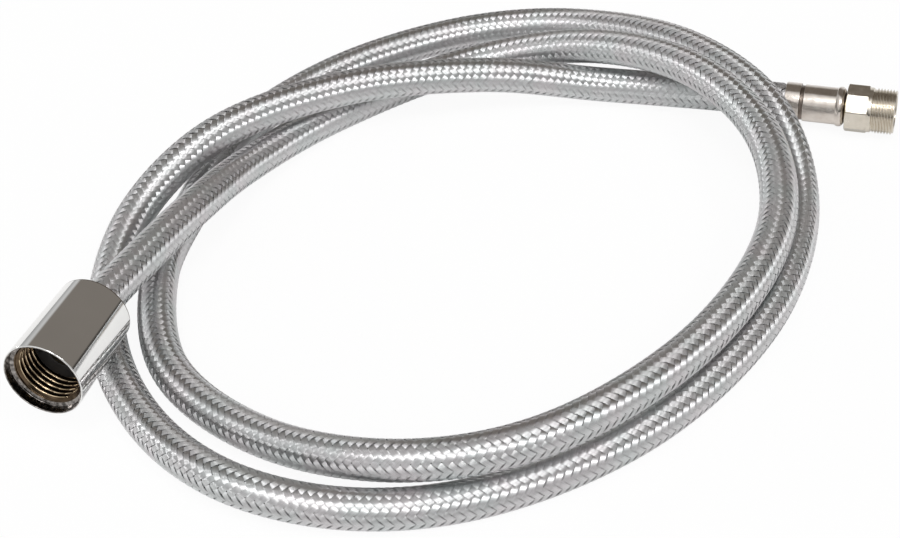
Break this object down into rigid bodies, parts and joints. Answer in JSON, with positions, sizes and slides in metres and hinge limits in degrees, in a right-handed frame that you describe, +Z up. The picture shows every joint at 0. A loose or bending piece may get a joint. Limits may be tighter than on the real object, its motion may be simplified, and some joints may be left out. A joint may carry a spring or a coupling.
{
  "type": "braided metal hose for a handheld bath sprayer",
  "caption": "Braided steel hose laid in loose loops, with a round chromed swivel nut on one end and a nickel swivel connector with an outside thread on the other.",
  "frame": {"origin": "centre of the bounding box, on the surface that the hose lies on", "axes": "+Z up, +Y away from the viewer of the picture, +X to the right, towards the connector; millimetres in the source"},
  "size_m": [0.2828, 0.2432, 0.0366],
  "materials": {
    "braid_steel": "bright woven stainless wire",
    "tube_rubber": "black rubber",
    "nut_chrome": "mirror chrome plate",
    "ring_nylon": "natural nylon",
    "seal_rubber": "black rubber",
    "tail_brass": "turned brass",
    "ferrule_steel": "pressed stainless sheet",
    "connector_nickel": "bright nickel plate"
  },
  "bodies": {
    "hose": {"braid_sleeve": "braid_steel", "inner_tube": "tube_rubber", "nut_ferrule": "ferrule_steel", "nut_hose_tail": "tail_brass", "seal_washer": "seal_rubber", "connector_ferrule": "connector_nickel", "connector_hose_tail": "tail_brass", "o_ring": "seal_rubber", "retaining_ring": "ferrule_steel"},
    "guide": {"guide_ring": "ring_nylon"},
    "nut": {"swivel_nut": "nut_chrome"},
    "connector": {"male_connector": "connector_nickel"}
  },
  "joints": [
    {"name": "nut_slide", "type": "slide", "parent": "hose", "child": "guide", "axis": [0.3599, 0.9315, -0.0529], "range_m": [0, 0.006]},
    {"name": "nut_swivel", "type": "hinge", "parent": "guide", "child": "nut", "pos_m": [-0.13023, -0.07279, 0.02433], "axis": [-0.3599, -0.9315, 0.0529], "continuous": true},
    {"name": "connector_swivel", "type": "hinge", "parent": "hose", "child": "connector", "pos_m": [0.12331, 0.0469, 0.0075], "axis": [0.9424, -0.3344, 0], "continuous": true}
  ]
}
